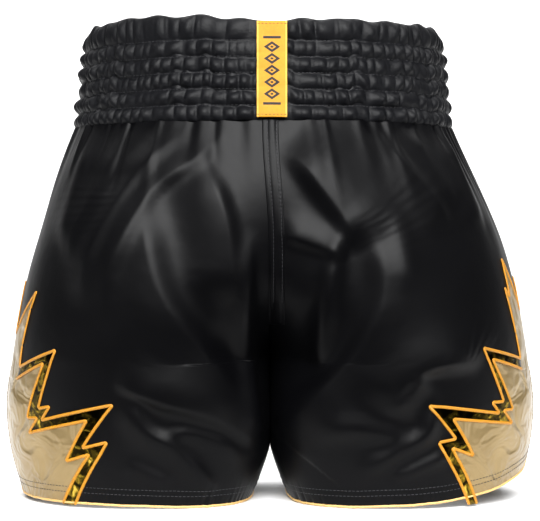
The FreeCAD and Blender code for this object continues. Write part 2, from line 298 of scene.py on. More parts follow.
def fold(x, z, height, widths, points):
    """A ridge, or a valley if height is negative, along a path.

    It falls off as exp(-(d / width) ** 2) at distance d, with its own width to the left and
    right of the path, and fades in and out over the first and last third of its length.
    """
    path = smooth_path(points)
    nearest = np.full(x.shape, 1e9)
    signed = np.zeros(x.shape)
    along = np.zeros(x.shape)
    for index in range(len(path) - 1):
        start, run = path[index], path[index + 1] - path[index]
        length = run @ run
        t = np.clip(((x - start[0]) * run[0] + (z - start[1]) * run[1]) / length, 0, 1)
        off_x, off_z = x - start[0] - t * run[0], z - start[1] - t * run[1]
        distance = off_x ** 2 + off_z ** 2
        closer = distance < nearest
        nearest = np.where(closer, distance, nearest)
        signed = np.where(closer, run[0] * off_z - run[1] * off_x, signed)
        along = np.where(closer, (index + t) / (len(path) - 1), along)
    width = np.where(signed > 0, widths[0], widths[1])
    fade = ease(along / 0.32) * ease((1 - along) / 0.32)
    return height * fade * np.exp(-nearest / width ** 2)


# Folds of the back: height, widths left and right of the path, and the path as (distance from
# the centre plane, height above the hem). Each is gentle on one side and steep on the other.
LEFT_FOLDS = [
    (13.0, (62, 15), [(98, 272), (100, 245), (98, 215), (90, 180), (74, 150), (54, 120),
                      (36, 92), (24, 72)]),
    (7.0, (28, 9), [(62, 300), (48, 268), (37, 238), (33, 208), (35, 182), (40, 160)]),
    (6.5, (9, 8), [(15, 232), (18, 208), (21, 180), (21, 140), (20, 100), (14, 60), (5, 35)]),
    (5.5, (24, 8), [(30, 318), (60, 286), (92, 262), (112, 225), (128, 185), (134, 150)]),
    (4.5, (17, 8), [(62, 318), (90, 292), (115, 262), (135, 222), (148, 190), (154, 160)]),
    (4.0, (12, 8), [(112, 316), (130, 285), (145, 250), (158, 222), (164, 195)]),
    (3.5, (11, 8), [(142, 314), (155, 280), (165, 240), (172, 210)]),
    (7.0, (7, 24), [(128, 108), (113, 102), (85, 90), (50, 78), (22, 60), (6, 36)]),
    (6.0, (13, 7), [(116, 104), (112, 85), (100, 65), (72, 45), (52, 22), (44, 8)]),
    (4.0, (10, 7), [(96, 58), (70, 62), (42, 54), (14, 34)]),
    (3.0, (9, 8), [(120, 40), (98, 28), (76, 18)]),
]
RIGHT_FOLDS = [
    (10.5, (46, 14), [(58, 246), (80, 226), (91, 204), (93, 175), (82, 142), (62, 112), (38, 86),
                      (12, 62), (4, 52)]),
    (8.0, (9, 11), [(58, 236), (51, 200), (47, 165), (44, 128), (42, 108)]),
    (9.0, (42, 9), [(8, 300), (30, 276), (50, 250), (64, 230), (74, 208)]),
    (5.0, (15, 7), [(2, 228), (24, 221), (48, 213), (64, 206)]),
    (2.0, (10, 9), [(97, 252), (103, 222), (107, 196), (108, 172)]),
    (4.0, (8, 22), [(74, 316), (98, 290), (120, 265), (138, 240), (146, 222)]),
    (3.5, (8, 11), [(108, 316), (124, 294), (142, 264), (152, 240)]),
    (3.5, (8, 10), [(140, 314), (152, 288), (168, 250), (176, 225)]),
    (7.5, (24, 8), [(84, 74), (97, 90), (110, 107), (130, 119), (156, 121), (172, 112)]),
    (5.0, (6, 11), [(94, 78), (108, 88), (120, 102), (126, 112)]),
    (5.5, (8, 9), [(126, 104), (130, 80), (126, 62), (104, 48), (82, 34), (68, 16)]),
    (4.5, (13, 9), [(34, 56), (62, 66), (92, 64), (118, 58)]),
    (3.5, (7, 6), [(92, 22), (112, 30), (134, 40), (148, 46)]),
]


def gathers(seed, count, spread, reach, depth):
    """Random gathers: place along the panel, width, how far down they reach, and depth."""
    draw = np.random.default_rng(seed)
    places = (np.arange(count) + draw.uniform(0.2, 0.8, count)) / count
    return list(zip(places, draw.uniform(0.5, 1.2, count) * spread,
                    draw.uniform(0.35, 1.3, count) * reach,
                    draw.uniform(-1.0, 0.75, count) * depth))


WAIST_GATHERS = {(side, facing): gathers(31 + int(side) + 5 * facing, 24, 0.020, 52.0, 2.6)
                 for side in (LEFT, RIGHT) for facing in (0, 1)}
HEM_GATHERS = {(side, facing): gathers(61 + int(side) + 5 * facing, 54, 0.0060, 11.0, 0.9)
               for side in (LEFT, RIGHT) for facing in (0, 1)}


def relief(side, turn, z, x):
    """How far the cloth stands out from the bare oval: folds, waist gathers and hem puckers."""
    share = np.abs(turn) / seam_turn(z)
    out = np.zeros(x.shape)
    reach = np.abs(x)
    for facing in (0, 1):
        facing_part = ease((turn if facing == 0 else -turn) / 0.5)
        if not facing_part.any():
            continue
        same = (side == LEFT) == (facing == 0)
        depth = sum(fold(reach, z, *each) for each in (LEFT_FOLDS if same else RIGHT_FOLDS))
        out += facing_part * depth
    for facing in (0, 1):
        chosen = (turn >= 0) if facing == 0 else (turn < 0)
        for place, width, length, height in WAIST_GATHERS[side, facing]:
            spread = width * (1 + (TOP - z) / 90)
            out += chosen * height * np.exp(
                -((share - place) / spread) ** 2 - ((TOP - z) / length) ** 2)
        for place, width, length, height in HEM_GATHERS[side, facing]:
            out += chosen * height * np.exp(-((share - place) / width) ** 2 - (z / length) ** 2)
    # Nothing moves at the centre seam, so that the two halves meet.
    return out * ease((1 - share) / 0.06)


def bare(side, turn, z):
    """The tube without folds: x = centre + half width cos turn, y = half depth sin turn.

    On the inner half of each leg both are raised to the power 2 / n, which squares the oval off.
    """
    centre, half_width, half_depth = oval(z)
    power = np.where(np.cos(turn) < 0, 2 / (2 + 0.9 * ease((128.0 - z) / 60)), 1.0)
    across = np.sign(np.cos(turn)) * np.abs(np.cos(turn)) ** power
    deep = np.sign(np.sin(turn)) * np.abs(np.sin(turn)) ** power
    return np.stack([side * (centre + half_width * across), -half_depth * deep, z + 0 * turn], -1)


def outward(surface, turn, z):
    """The unit normal of surface(turn, z), from differences over a small step each way."""
    step = 0.004
    rise = 0.4
    along = surface(turn + step, z) - surface(turn - step, z)
    up = surface(turn, z + rise) - surface(turn, z - rise)
    normal = np.cross(along, up)
    return normal / np.maximum(np.linalg.norm(normal, axis=-1, keepdims=True), 1e-9)


def draped(side, turn, z):
    """The cloth's outer face: the bare oval moved out by the relief, kept off the centre."""
    flat = bare(side, turn, z)
    normal = side * -outward(lambda t, h: bare(side, t, h), turn, z)
    point = flat + normal * relief(side, turn, z, flat[..., 0] + lean(z))[..., None]
    point[..., 0] = side * np.maximum(side * point[..., 0], 0.0) + lean(z)
    return point


def cloth(side, turn, z, lift=0.0):
    """A point of the cloth, raised from its outer face by lift along the folded normal."""
    turn, z = np.broadcast_arrays(np.asarray(turn, float), np.asarray(z, float))
    point = draped(side, turn, z)
    if np.any(lift):
        normal = side * -outward(lambda t, h: draped(side, t, h), turn, z)
        point = point + normal * np.broadcast_to(lift, turn.shape)[..., None]
    return point


def sheet_piece(name, side, facing, shares, heights, counts, material, lift=0.0,
                thickness=0.9, keep=None):
    """A sheet of the cloth between two shares of the way to the centre seam, and two heights.

    Its foot follows the hem's edge. keep(turn, z) picks the faces that stay. facing is 1 on the
    back and -1 on the front.
    """
    share, up = np.meshgrid(np.linspace(*shares, counts[0]), np.linspace(0, 1, counts[1]),
                            indexing="ij")
    foot = np.maximum(heights[0], hem_edge(side, share * math.pi))
    z = foot + (heights[1] - foot) * up
    turn = share * seam_turn(z)
    points = cloth(side, facing * turn, z, lift)
    faces = grid_faces(*counts)
    if keep is not None:
        faces = faces[keep(turn.reshape(-1)[faces].mean(-1), z.reshape(-1)[faces].mean(-1))]
    if side * facing > 0:
        faces = faces[:, ::-1]
    uv = np.stack([share * PANEL_WIDTH, z], -1).reshape(-1, 2) * 0.001
    return solid_sheet(name, points.reshape(-1, 3), faces, uv, material, thickness)


def leg_face(side, facing):
    """The cloth of one quarter as a function of turn and height."""
    return lambda turn, z: cloth(side, facing * turn, z)


def solid_sheet(name, points, faces, uv, material, thickness):
    """A mesh of only the points in use, thickened inwards."""
    used, faces = np.unique(faces, return_inverse=True)
    piece = mesh_piece(name, points[used], faces.reshape(-1, 4), uv[used], material)
    wall = piece.modifiers.new("wall", "SOLIDIFY")
    wall.thickness = thickness * 0.001
    wall.offset = -1.0
    return piece


HEM_CORNER = 18.0       # radius of the panels' corner beside the vent
VENT_GAP = 1.4
LEG_RADIUS = 105.0
LEG_MIDDLE = 114.0      # distance of each leg's middle from the centre plane
PANEL_WIDTH = 310.0     # of one quarter, side seam to inside leg
# Height of the hem round each leg, from the vent to the inside leg, in even steps of turn.
HEM_RISE = {LEFT: np.array([6.0, 4.0, 3.4, 3.3, 3.2, 3.0, 2.0, 0.7, 0.4, 0.4, 0.4, 0.6, 2.0]),
            RIGHT: np.array([30.0, 24.0, 18.5, 12.0, 8.0, 4.5, 2.3, 0.8, 0.6, 0.5, 0.5, 1.5,
                             4.0])}


def hem_edge(side, turn):
    """Height of the hem: HEM_RISE, and rounded up to the vent like a quarter circle."""
    turn = np.abs(turn)
    inset = np.clip(HEM_CORNER - (turn * LEG_RADIUS - VENT_GAP), 0, HEM_CORNER)
    places = np.linspace(0, math.pi, len(HEM_RISE[side]))
    rise = np.interp(turn, places, HEM_RISE[side])
    return 0.6 + rise + HEM_CORNER - np.sqrt(HEM_CORNER ** 2 - inset ** 2 + 1e-9)


def inside(polygon, turn, z):
    """Whether points lie in a closed polygon, by counting the edges to their right."""
    hit = np.zeros(turn.shape, bool)
    for (a, b), (c, d) in zip(polygon, polygon[1:] + polygon[:1]):
        if b == d:
            continue
        crosses = ((b > z) != (d > z)) & (turn < a + (z - b) * (c - a) / (d - b))
        hit ^= crosses
    return hit


def degrees(points):
    """The points with their turns in radians."""
    return [(math.radians(turn), z) for turn, z in points]


# The bolt's two edges, shoulder to hem, as (degrees round from the side, height above the hem).
BOLT_EDGES = {
    LEFT: (degrees([(28.8, 113.5), (54.0, 129.7), (47.2, 80.8), (54.0, 83.2), (48.9, 71.2),
                    (83.5, 86.8), (68.9, 49.9), (80.3, 55.5), (62.0, 2.0)]),
           degrees([(26.7, 103.0), (48.0, 118.5), (39.2, 72.2), (46.5, 72.8), (39.6, 59.4),
                    (72.2, 73.1), (60.2, 38.3), (71.9, 45.0), (54.7, 2.0)])),
    RIGHT: (degrees([(27.0, 120.6), (54.4, 131.5), (45.7, 86.5), (52.8, 86.5), (48.5, 77.0),
                     (82.9, 86.1), (70.1, 57.6), (77.8, 55.2), (59.6, 2.0)]),
            degrees([(26.7, 111.4), (50.0, 122.0), (39.3, 79.4), (46.0, 79.1), (39.3, 67.5),
                     (72.1, 74.2), (60.7, 42.9), (71.6, 50.3), (54.8, 2.0)]))}
# The crown's outline above the shoulder, to the side seam.
CROWN_EDGE = {
    LEFT: degrees([(27.9, 132.0), (28.8, 162.0), (30.5, 177.0), (17.0, 148.0), (12.0, 140.0),
                   (8.0, 186.0), (0.0, 150.0)]),
    RIGHT: degrees([(27.2, 141.7), (27.4, 180.3), (24.5, 172.0), (22.0, 204.6), (12.0, 160.0),
                    (7.0, 190.0), (0.0, 152.0)])}
CROWN_LOW = 103.0


def halfway(side):
    """The line down the middle of the bolt, on which the black and pale panels meet."""
    outer, inner = BOLT_EDGES[side]
    return [((a + c) / 2, (b + d) / 2) for (a, b), (c, d) in zip(outer, inner)]


def pale_region(side):
    """The outline of the pale panels' part of a quarter, closed past the side and the hem."""
    return [(-1.0, -50.0), (-1.0, CROWN_LOW + 3)] + halfway(side) + [(halfway(side)[-1][0], -50.0)]


def crown_region(side):
    """The outline of the crown, from the bolt's shoulder over its points to the side."""
    outer, inner = BOLT_EDGES[side]
    return [outer[0]] + CROWN_EDGE[side] + [(-1.0, CROWN_EDGE[side][-1][1]), (-1.0, CROWN_LOW),
                                            inner[0]]


FULL_TURN = 6283.0      # radians in a metre of threads one millimetre apart
THREAD = 0.35


def own_uv(start):
    """The piece's own UV map, then its two coordinates apart, in metres."""
    uv = start.node("ShaderNodeTexCoord", out=2)
    across = start.node("ShaderNodeSeparateXYZ", uv)
    return uv, across, Socket(start.tree, across.value.node.outputs[1])


def satin_weave(across, along, thread):
    """Height of a satin weave: a sine along, for long floats, and a wider one on the slant."""
    floats = (along * (FULL_TURN / thread)).sine()
    slant = ((across + along) * (FULL_TURN / (thread * 5))).sine()
    return floats * 0.6 + slant * 0.4


def satin_paint(dark, light, cloud, roughness, crumple, dent, weave):
    """A satin: cloud noise drives colour and roughness, and crumple noise and weave the bump.

    cloud is (scale, detail), roughness (least, range), crumple (scale, detail, distortion), dent
    (strength, depth), and weave the strength of the threads.
    """
    def paint(start, shader):
        uv, across, along = own_uv(start)
        patch = start.node("ShaderNodeTexNoise", ("Vector", uv), ("Scale", cloud[0]),
                           ("Detail", cloud[1]))
        link(patch.mixed((*dark, 1.0), (*light, 1.0)), shader, "Base Color")
        link(patch * roughness[1] + roughness[0], shader, "Roughness")
        creases = start.node("ShaderNodeTexNoise", ("Vector", uv), ("Scale", crumple[0]),
                             ("Detail", crumple[1]), ("Distortion", crumple[2]))
        soft = start.node("ShaderNodeBump", ("Strength", dent[0]), ("Distance", dent[1]),
                          ("Height", creases))
        woven = start.node("ShaderNodeBump", ("Strength", weave), ("Distance", 0.0001),
                           ("Height", satin_weave(across, along, THREAD)), ("Normal", soft))
        link(woven, shader, "Normal")
    return paint


black_satin = finish(
    "black_satin", (0.009, 0.009, 0.011), 0.4,
    satin_paint((0.0009, 0.0009, 0.0012), (0.0017, 0.0017, 0.0022), (22.0, 4.0), (0.38, 0.08),
                (45.0, 3.0, 0.0), (0.25, 0.0016), 0.10),
    Specular_IOR_Level=0.12)


def fitted(piece, node):
    """Fix a piece to the shorts in place of a CAD node."""
    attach(piece, "root")
    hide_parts(node)


FACINGS = (("back", 1.0), ("front", -1.0))
SIDES = (("left", LEFT), ("right", RIGHT))
COUNTS = ((205, 200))
for side_name, side in SIDES:
    region = pale_region(side)
    for facing_name, facing in FACINGS:
        name = f"main_panel_{facing_name}_{side_name}"
        panel = sheet_piece(
            name + "_cloth", side, facing, (0.0, 1.0), (1.0, TOP + 2.0), COUNTS, black_satin,
            keep=lambda turn, z, region=region: ~inside(region, turn, z))
        fitted(panel, name)

# ------------------------------------------------------------------ side panels
# Pale gold satin, one panel each side of each vent, with a metallic face that shows soft
# creases. Their upper and inner edges lie under the bolt.


pale_satin = finish(
    "pale_satin", (0.5, 0.39, 0.2), 0.3,
    satin_paint((0.19, 0.130, 0.052), (0.36, 0.262, 0.122), (30.0, 3.0), (0.24, 0.12),
                (38.0, 2.0, 1.2), (0.7, 0.007), 0.10),
    Metallic=0.45)
PALE_TOP = 134.0
for side_name, side in SIDES:
    region = pale_region(side)
    for facing_name, facing in FACINGS:
        name = f"side_panel_{facing_name}_{side_name}"
        panel = sheet_piece(
            name + "_cloth", side, facing, (0.0045, 0.5), (1.0, PALE_TOP), (120, 110), pale_satin,
            keep=lambda turn, z, region=region: inside(region, turn, z))
        fitted(panel, name)

# ------------------------------------------------------------------ bolts and crowns
# Each bolt is a zigzag strip of gold mirror film laid over the join of the black and pale
# panels. Its edges, and the crown's above the vent, are bound with raised satin stitch.


def along_surface(surface, route, step, core):
    """Points, directions, normals and lengths at even steps along a route on surface(u, v)."""
    route = np.array(route, float)
    fine = np.linspace(0, len(route) - 1, (len(route) - 1) * 40 + 1)
    u = np.interp(fine, np.arange(len(route)), route[:, 0])
    v = np.interp(fine, np.arange(len(route)), route[:, 1])
    run = np.linalg.norm(np.diff(surface(u, v), axis=0), axis=-1)
    length = np.concatenate([[0.0], np.cumsum(run)])
    places = np.linspace(0, length[-1], max(int(round(length[-1] / step)), 2) + 1)
    u, v = np.interp(places, length, u), np.interp(places, length, v)
    points = surface(u, v)
    direction = np.gradient(points, axis=0)
    direction /= np.linalg.norm(direction, axis=-1, keepdims=True)
    normal = outward(surface, u, v)
    away = points - np.stack([core + 0 * u, 0 * u, points[:, 2]], -1)
    normal *= np.where((normal * away).sum(-1, keepdims=True) < 0, -1.0, 1.0)
    return points, direction, normal, places


def tube_faces(rings, sides):
    """The faces of a tube of rings, each end closed by quads across its ring of even sides."""
    near = np.arange(sides // 2 - 1)
    first = np.stack([near, near + 1, sides - 2 - near, sides - 1 - near], -1)
    last = first[:, ::-1] + (rings - 1) * sides
    return np.concatenate([grid_faces(rings, sides, True), first, last])


def bead(points, direction, normal, places, half_width, height, lift=0.0, ends=1.5, sides=10):
    """A raised half-oval strip carried along a route, narrowed to a point at both ends."""
    cross = np.cross(direction, normal)
    angle = np.linspace(0, 2 * math.pi, sides, endpoint=False)
    from_end = np.minimum(places, places[-1] - places)
    narrow = np.sqrt(np.clip(from_end / ends, 0.02, 1.0))[:, None, None]
    rise = np.maximum(np.sin(angle), -0.25)[None, :, None]
    body = (points[:, None] + cross[:, None] * half_width * np.cos(angle)[None, :, None] * narrow
            + normal[:, None] * (lift + height * rise * narrow))
    uv = np.stack(np.broadcast_arrays(places[:, None], angle[None] * half_width), -1)
    return body.reshape(-1, 3), tube_faces(len(points), sides), uv.reshape(-1, 2) * 0.001


def joined(parts):
    """Several (points, faces, uv) made one."""
    points, faces, uvs, count = [], [], [], 0
    for part_points, part_faces, part_uv in parts:
        points.append(part_points)
        faces.append(part_faces + count)
        uvs.append(part_uv)
        count += len(part_points)
    return np.concatenate(points), np.concatenate(faces), np.concatenate(uvs)


def stitches(surface, route, core, length=2.2, gap=0.9, radius=0.2, lift=0.12):
    """Short threads end to end along a route: six-sided grains, each thinnest at its ends."""
    points, direction, normal, places = along_surface(surface, route, length + gap, core)
    cross = np.cross(direction, normal)
    ring = np.array([-0.5, -0.36, 0.0, 0.36, 0.5])
    thick = np.array([0.35, 0.9, 1.0, 0.9, 0.35]) * radius
    angle = np.linspace(0, 2 * math.pi, 6, endpoint=False)
    shape = (points[:, None, None]
             + direction[:, None, None] * (ring * length)[None, :, None, None]
             + cross[:, None, None] * (thick[:, None] * np.cos(angle))[None, :, :, None]
             + normal[:, None, None] * (lift + thick[:, None] * np.sin(angle))[None, :, :, None])
    count = len(points)
    one = tube_faces(5, 6)
    faces = (one[None] + 30 * np.arange(count)[:, None, None]).reshape(-1, 4)
    uv = np.zeros((count * 30, 2))
    uv[:, 0] = np.repeat(places, 30) * 0.001
    return shape.reshape(-1, 3), faces, uv


def gold_film_glint_paint(start, shader):
    """Mirror film with dents, its colour patched from near black to bright gold: painted
    reflections and glints where the dents would catch dark and light.
    """
    uv = start.node("ShaderNodeTexCoord", out=2)
    patch = start.node("ShaderNodeTexNoise", ("Vector", uv), ("Scale", 110.0), ("Detail", 3.0),
                       ("Distortion", 0.8))
    # The ramp paints the reflections: near-black and bright gold patches in the film's colour are
    # painted reflection and glints.
    colour = start.node("ShaderNodeValToRGB", patch, stops=(
        (0.44, (0.010, 0.007, 0.002, 1.0)), (0.54, (0.055, 0.038, 0.005, 1.0)),
        (0.64, (0.26, 0.17, 0.018, 1.0)), (0.76, (0.72, 0.48, 0.07, 1.0))))
    link(colour, shader, "Base Color")
    link(patch * 0.2 + 0.08, shader, "Roughness")
    dents = start.node("ShaderNodeBump", ("Strength", 0.5), ("Distance", 0.0008),
                       ("Height", patch))
    link(dents, shader, "Normal")


def satin_stitch_paint(start, shader):
    """Yellow strands side by side across the border, one each 0.55 mm, with painted shade
    darkening the grooves between them.
    """
    uv, across, _ = own_uv(start)
    strand_and_shade = (across * (FULL_TURN / 0.55)).sine() * 0.5 + 0.5
    cloud = start.node("ShaderNodeTexNoise", ("Vector", uv), ("Scale", 260.0))
    # Painted shade: the colour runs from dark orange in the grooves between strands to bright
    # orange on their crests.
    link(strand_and_shade.mixed((0.38, 0.15, 0.002, 1.0), (0.68, 0.29, 0.006, 1.0)), shader, "Base Color")
    link(cloud * 0.2 + 0.3, shader, "Roughness")
    ridges = start.node("ShaderNodeBump", ("Strength", 0.6), ("Distance", 0.00015),
                        ("Height", strand_and_shade))
    link(ridges, shader, "Normal")


gold_film = finish("gold_film", (0.3, 0.23, 0.05), 0.15, gold_film_glint_paint, Metallic=1.0)
satin_stitch = finish("satin_stitch", (0.8, 0.42, 0.012), 0.4, satin_stitch_paint)
BORDER_HALF_WIDTH = 1.35
BORDER_HEIGHT = 0.85
BORDER_STEP = 0.7
FILM_LIFT = 0.35
SPAN_STEPS = 16


def bound_edge(surface, side, edge):
    """Satin-stitch beads, one for each straight run of an edge."""
    return [bead(*along_surface(surface, [start, end], BORDER_STEP, side * LEG_MIDDLE),
                 BORDER_HALF_WIDTH, BORDER_HEIGHT, FILM_LIFT)
            for start, end in zip(edge, edge[1:])]


for side_name, side in SIDES:
    outer, inner = BOLT_EDGES[side]
    crown_parts = []
    for facing_name, facing in FACINGS:
        quarter = f"{facing_name}_{side_name}"
        surface = leg_face(side, facing)
        along = np.linspace(0, len(outer) - 1, (len(outer) - 1) * SPAN_STEPS + 1)
        across = np.linspace(0, 1, 8)
        ends = [[np.interp(along, np.arange(len(outer)), [point[part] for point in edge])
                 for edge in (outer, inner)] for part in (0, 1)]
        turn, z = [first[:, None] * (1 - across) + last[:, None] * across for first, last in ends]
        points = cloth(side, facing * turn, z, FILM_LIFT).reshape(-1, 3)
        faces = grid_faces(*turn.shape)
        if side * facing < 0:
            faces = faces[:, ::-1]
        uv = np.stack([turn * LEG_RADIUS, z], -1).reshape(-1, 2) * 0.001
        film = solid_sheet(f"bolt_{quarter}_film", points, faces, uv, gold_film, 0.25)
        fitted(film, f"bolt_foil_{quarter}")

        strips = bound_edge(surface, side, outer) + bound_edge(surface, side, inner)
        border = mesh_piece(f"bolt_{quarter}_border", *joined(strips), satin_stitch)
        fitted(border, f"bolt_border_{quarter}")

        crown_parts += bound_edge(surface, side, [outer[0]] + CROWN_EDGE[side])
        crown = sheet_piece(
            f"crown_{quarter}_cloth", side, facing, (0.0, 0.27), (CROWN_LOW, 206.0), (110, 130),
            pale_satin, FILM_LIFT, 0.5,
            keep=lambda turn, z, region=crown_region(side): inside(region, turn, z))
        fitted(crown, f"crown_foil_{side_name}")
    border = mesh_piece(f"crown_{side_name}_border", *joined(crown_parts), satin_stitch)
    fitted(border, f"crown_border_{side_name}")

# ------------------------------------------------------------------ waistband
# Six rows of elastic run in channels between the outer satin and its lining. The elastic
# gathers the satin into puffs between the stitched rows, with creases where it is bunched.

ROWS_OF_ELASTIC = 6
BAND_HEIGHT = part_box("waistband_outer")[1][2] * 1000 - TOP
BAND_LOW = (163.5, 105.0)
BAND_HIGH = (153.5, 100.0)
BAND_RADIUS = 132.0     # mean, for lengths round the waist
PUFF = 3.6
PILLOW = 3.4
LABEL_MIDDLE = 1.6
LABEL_HALF_WIDTH = 12.3
ROW_PITCH = 13.3          # of the five lower rows; the top row takes the rest


def wave(angle, seed, low, high, count=14):
    """A smooth random ripple that closes on itself: a sum of sines of whole frequencies."""
    draw = np.random.default_rng(seed)
    total = 0.0
    for frequency, phase in zip(draw.integers(low, high, count), draw.uniform(0, 6.28, count)):
        total = total + np.sin(frequency * angle + phase)
    return total / math.sqrt(count)


# How far the rim stands above its nominal height, at even turns from the right side round.
RIM = np.array([-4.0, 0.0, 1.0, 1.0, 0.0, 1.5, 2.0, 0.0, -3.0, 2.0, 4.5, 3.5, -1.5, 1.0, 0.6, 1.4])


def rim(angle):
    """A smooth closed curve through RIM."""
    share = np.mod(angle / (2 * math.pi), 1.0) * len(RIM)
    low = np.floor(share).astype(int) % len(RIM)
    return RIM[low] + (np.roll(RIM, -1)[low] - RIM[low]) * ease(share - np.floor(share))


def band(angle, height, inset=0.0, out=1.0):
    """The waistband's face: an oval narrowing upwards, puffed between the stitched rows.

    Each row swells as sin(pi within) ** 0.7, more where its pillow |wave| ** 0.6 is high.
    """
    angle, height = np.broadcast_arrays(np.asarray(angle, float), np.asarray(height, float))
    share = height / BAND_HEIGHT
    lower = ROWS_OF_ELASTIC - 1.0
    line = np.where(height < lower * ROW_PITCH, height / ROW_PITCH,
                    lower + (height - lower * ROW_PITCH) / (BAND_HEIGHT - lower * ROW_PITCH))
    line = line + (0.10 * wave(angle, 3, 30, 70) + 0.12 * wave(angle, 4, 7, 18)) * np.sin(
        math.pi * np.clip(share * 1.15, 0, 1))
    row = np.clip(np.floor(line), 0, ROWS_OF_ELASTIC - 1)
    within = np.clip(line - row, 0.0, 1.0)
    puff = np.clip(np.sin(math.pi * within), 0.0, 1.0) ** 0.7
    pillow = np.zeros(angle.shape)
    for index in range(ROWS_OF_ELASTIC):
        drawn = angle + 0.012 * (within - 0.5) * wave(angle, 90 + index, 3, 12)
        here = (np.abs(wave(drawn, 7 + index, 16, 58)) + 0.01) ** 0.6
        pillow += (row == index) * here
    shared = np.abs(wave(angle, 55, 14, 40)) ** 0.5
    rise = puff * (PUFF + PILLOW * (pillow - 0.7) + 1.4 * (shared - 0.7))
    rise = rise + 0.5 * wave(angle, 21, 5, 16) * share
    size = [(low + (high - low) * share) for low, high in zip(BAND_LOW, BAND_HIGH)]
    # The label flattens the puffs that it crosses.
    from_label = (size[0] * np.cos(angle) + lean(TOP) - LABEL_MIDDLE) / (LABEL_HALF_WIDTH + 2.0)
    rise = rise * (1 - 0.5 * np.exp(-from_label ** 4) * (np.sin(angle) < 0))
    reach = out * rise - 2.4 - inset
    top = (rim(angle) + 0.9 * wave(angle, 33, 16, 40)) * ease((share - 0.72) / 0.28)
    return np.stack([(size[0] + reach) * np.cos(angle) + lean(TOP),
                     (size[1] + reach) * np.sin(angle), TOP + height + top], -1)


def ring_mesh(name, angle, height, points, material):
    """A closed ring: rows of points round the waist, each joined to the next and last to first."""
    index = np.arange(height.size * angle.size).reshape(height.size, angle.size)
    above = np.roll(index, -1, axis=0)
    faces = np.stack([index, np.roll(index, -1, axis=1), np.roll(above, -1, axis=1), above],
                     -1).reshape(-1, 4)
    uv = np.stack(np.broadcast_arrays(angle[None] * BAND_RADIUS, height), -1)
    return mesh_piece(name, points.reshape(-1, 3), faces, uv.reshape(-1, 2) * 0.001, material)


def ring_piece(name, outside, inside_face, columns, rows, material):
    """A closed ring of cloth: up its outer face, over the top, and down its inner face."""
    angle = np.linspace(0, 2 * math.pi, columns, endpoint=False)
    up = np.linspace(0, BAND_HEIGHT, rows[0])
    down = np.linspace(BAND_HEIGHT, 0, rows[1])
    height = np.concatenate([up, down])[:, None]
    is_inner = np.arange(len(height))[:, None] >= rows[0]
    points = np.where(is_inner[..., None], inside_face(angle[None], height),
                      outside(angle[None], height))
    return ring_mesh(name, angle, height, points, material)


gathered_satin = finish(
    "gathered_satin", (0.012, 0.012, 0.015), 0.5,
    satin_paint((0.0028, 0.0029, 0.0037), (0.0050, 0.0052, 0.0064), (40.0, 4.0), (0.44, 0.12),
                (190.0, 3.0, 0.0), (0.45, 0.0012), 0.12),
    Specular_IOR_Level=0.16)
BAND_COLUMNS = 840
outer_band = ring_piece("waistband_outer_cloth", band, lambda a, h: band(a, h, 1.0),
                        BAND_COLUMNS, (84, 20), gathered_satin)
fitted(outer_band, "waistband_outer")
lining = ring_piece("waistband_lining_cloth", lambda a, h: band(a, h * 0.985, 3.9, 0.0),
                    lambda a, h: band(a, h * 0.985, 4.7, -0.5), 500, (12, 84), gathered_satin)
fitted(lining, "waistband_lining")


def elastic_paint(start, shader):
    """White rib lines along the strip, one each 1.6 mm of its height, drawn only as colour:
    painted shade darkens the grooves between them.
    """
    _, _, up = own_uv(start)
    rib_and_shade = (up * (FULL_TURN / 1.6)).sine()
    # Painted shade: grey in the grooves between the ribs, white on their crests.
    link((rib_and_shade * 0.5 + 0.5).mixed((0.55, 0.55, 0.52, 1.0), (0.78, 0.78, 0.75, 1.0)),
         shader, "Base Color")


elastic_cloth = finish("elastic_cloth", (0.7, 0.7, 0.68), 0.8, elastic_paint)
ELASTIC_MARGIN = 1.5
TOP_MARGIN = 4.5        # the top row's elastic stops short of the folded rim
ELASTIC_INSET = 1.9
ELASTIC_THICKNESS = 1.3
ELASTIC_LEVELS = 7      # rows of points up each face
for row in range(ROWS_OF_ELASTIC):
    low = row * ROW_PITCH + ELASTIC_MARGIN
    high = (row + 1) * ROW_PITCH - ELASTIC_MARGIN
    if row == ROWS_OF_ELASTIC - 1:
        high = BAND_HEIGHT - TOP_MARGIN
    angle = np.linspace(0, 2 * math.pi, 240, endpoint=False)
    levels = np.linspace(low, high, ELASTIC_LEVELS)
    height = np.concatenate([levels, np.linspace(high, low, ELASTIC_LEVELS)])[:, None]
    inset = np.repeat([ELASTIC_INSET, ELASTIC_INSET + ELASTIC_THICKNESS], ELASTIC_LEVELS)[:, None]
    points = band(angle[None], height, inset, 0.0)
    elastic = ring_mesh(f"elastic_{row + 1}_strip", angle, height, points, elastic_cloth)
    fitted(elastic, f"elastic_{row + 1}")


def thread_paint(start, shader):
    """Near-black thread with a fine fuzz."""
    uv = start.node("ShaderNodeTexCoord", out=2)
    fuzz = start.node("ShaderNodeTexNoise", ("Vector", uv), ("Scale", 900.0))
    link(fuzz.mixed((0.012, 0.012, 0.014, 1.0), (0.03, 0.03, 0.034, 1.0)), shader, "Base Color")


dark_thread = finish("dark_thread", (0.02, 0.02, 0.023), 0.6, thread_paint)
thread_rows = []
for row in range(1, ROWS_OF_ELASTIC):
    level = ROW_PITCH * row
    thread_rows.append(stitches(band, [(0.001, level), (6.282, level)], 0.0, 2.4, 0.8,
                                0.22, 0.15))
band_thread = mesh_piece("waistband_stitches", *joined(thread_rows), dark_thread)
fitted(band_thread, "waistband_stitching")

# ------------------------------------------------------------------ label
# A gold-yellow damask label sewn upright over the back of the waistband. Its woven figure is a
# plain chain of lozenges between two bars.

LABEL_LOW, LABEL_HIGH = 3.0, 81.5
LABEL_LIFT = 2.4


